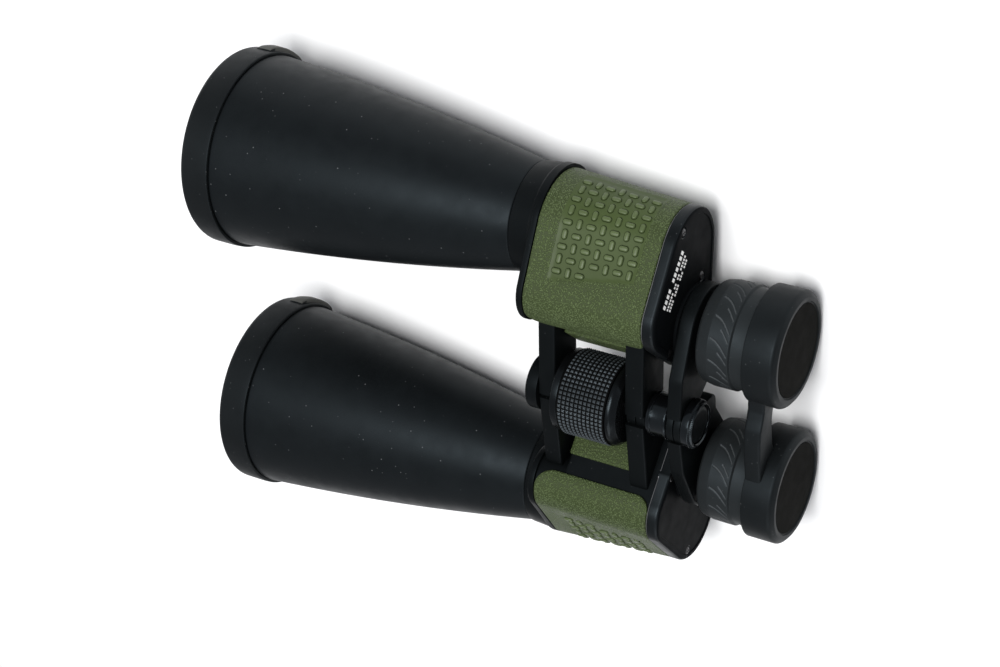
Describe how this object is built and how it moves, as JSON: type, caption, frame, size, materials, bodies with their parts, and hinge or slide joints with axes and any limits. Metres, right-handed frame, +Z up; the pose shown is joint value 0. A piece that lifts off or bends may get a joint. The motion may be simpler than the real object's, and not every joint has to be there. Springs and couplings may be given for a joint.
{
  "type": "astronomy binoculars",
  "caption": "Large porro-prism binoculars with tapered black barrels, green armoured prism housings, centre focus wheel, sliding ocular bridge, rain guard and objective caps.",
  "frame": {"origin": "bottom centre of the bounding box, below the middle of the centre hinge plane", "axes": "+X to the right-hand barrel, +Y forward from the eyepieces to the objectives, +Z up through the side with the focus wheel"},
  "size_m": [0.223, 0.2754, 0.0894],
  "materials": {
    "black_enamel": "semi-matt black enamel over a cast or drawn aluminium piece",
    "gloss_black": "gloss black anodised aluminium",
    "black_plastic": "matt black moulded plastic",
    "black_rubber": "matt black rubber",
    "green_armour": "olive green rubber with a fine leather grain",
    "steel": "blackened steel",
    "lens_glass": "polished optical glass"
  },
  "bodies": {
    "left_half": {"left_objective_tube": "black_enamel", "left_objective_cell": "black_plastic", "left_objective_flint": "lens_glass", "left_objective_crown": "lens_glass", "left_objective_ring": "steel", "left_housing": "black_enamel", "left_rear_cover": "black_plastic", "left_cover_screw_1": "steel", "left_cover_screw_2": "steel", "left_cover_screw_3": "steel", "left_upper_armour": "green_armour", "left_inner_armour": "green_armour", "left_rear_prism": "lens_glass", "left_front_prism": "lens_glass", "left_prism_shelf": "black_plastic", "hinge_axle": "steel", "hinge_boss": "black_enamel"},
    "right_half": {"right_objective_tube": "black_enamel", "right_objective_cell": "black_plastic", "right_objective_flint": "lens_glass", "right_objective_crown": "lens_glass", "right_objective_ring": "steel", "right_housing": "black_enamel", "right_rear_cover": "black_plastic", "right_cover_screw_1": "steel", "right_cover_screw_2": "steel", "right_cover_screw_3": "steel", "right_upper_armour": "green_armour", "right_inner_armour": "green_armour", "right_rear_prism": "lens_glass", "right_front_prism": "lens_glass", "right_prism_shelf": "black_plastic"},
    "focus_wheel": {"focus_wheel_core": "gloss_black", "focus_wheel_grip": "black_rubber"},
    "carriage": {"focus_spindle": "gloss_black", "bridge_bezel": "gloss_black", "bridge_disc": "black_plastic", "left_bridge_arm": "black_enamel", "left_eyepiece_body": "black_enamel", "left_eye_lens": "lens_glass", "left_field_lens": "lens_glass", "left_eyecup": "black_rubber"},
    "right_bridge": {"right_bridge_arm": "black_enamel"},
    "right_eyepiece": {"right_eyepiece_body": "black_enamel", "right_eye_lens": "lens_glass", "right_field_lens": "lens_glass", "right_eyecup": "black_rubber"},
    "left_guard": {"left_rain_guard": "black_rubber"},
    "right_guard": {"right_rain_guard": "black_rubber"},
    "left_cap": {"left_objective_cap": "black_rubber"},
    "right_cap": {"right_objective_cap": "black_rubber"},
    "tripod_cap": {"tripod_cap": "black_plastic"}
  },
  "joints": [
    {"name": "ipd_hinge", "type": "hinge", "parent": "left_half", "child": "right_half", "pos_m": [0, -0.0573, 0.0671], "axis": [0, 1, 0], "range_deg": [-3, 30]},
    {"name": "focus_wheel_turn", "type": "hinge", "parent": "left_half", "child": "focus_wheel", "pos_m": [0, -0.0573, 0.0671], "axis": [0, 1, 0], "range_deg": [0, 480]},
    {"name": "focus_travel", "type": "slide", "parent": "left_half", "child": "carriage", "axis": [0, -1, 0], "range_m": [0, 0.0128]},
    {"name": "bridge_fold", "type": "hinge", "parent": "carriage", "child": "right_bridge", "pos_m": [0, -0.0953, 0.0671], "axis": [0, 1, 0], "range_deg": [-3, 30]},
    {"name": "diopter_turn", "type": "hinge", "parent": "right_bridge", "child": "right_eyepiece", "pos_m": [0.035, -0.1073, 0.0473], "axis": [0, 1, 0], "range_deg": [-45, 45]},
    {"name": "left_guard_pull", "type": "slide", "parent": "carriage", "child": "left_guard", "axis": [0, -1, 0], "range_m": [0, 0.02]},
    {"name": "guard_fold", "type": "hinge", "parent": "left_guard", "child": "right_guard", "pos_m": [0, -0.1273, 0.0671], "axis": [0, 1, 0], "range_deg": [-3, 30]},
    {"name": "left_cap_pull", "type": "slide", "parent": "left_half", "child": "left_cap", "axis": [0, 1, 0], "range_m": [0, 0.025]},
    {"name": "right_cap_pull", "type": "slide", "parent": "right_half", "child": "right_cap", "axis": [0, 1, 0], "range_m": [0, 0.025]},
    {"name": "tripod_cap_pull", "type": "slide", "parent": "left_half", "child": "tripod_cap", "axis": [0, 1, 0], "range_m": [0, 0.012]}
  ],
  "couplings": [
    {"joint": "focus_travel", "follows": "focus_wheel_turn", "m_per_rad": 0.001516},
    {"joint": "bridge_fold", "follows": "ipd_hinge", "ratio": 1},
    {"joint": "guard_fold", "follows": "ipd_hinge", "ratio": 1}
  ]
}
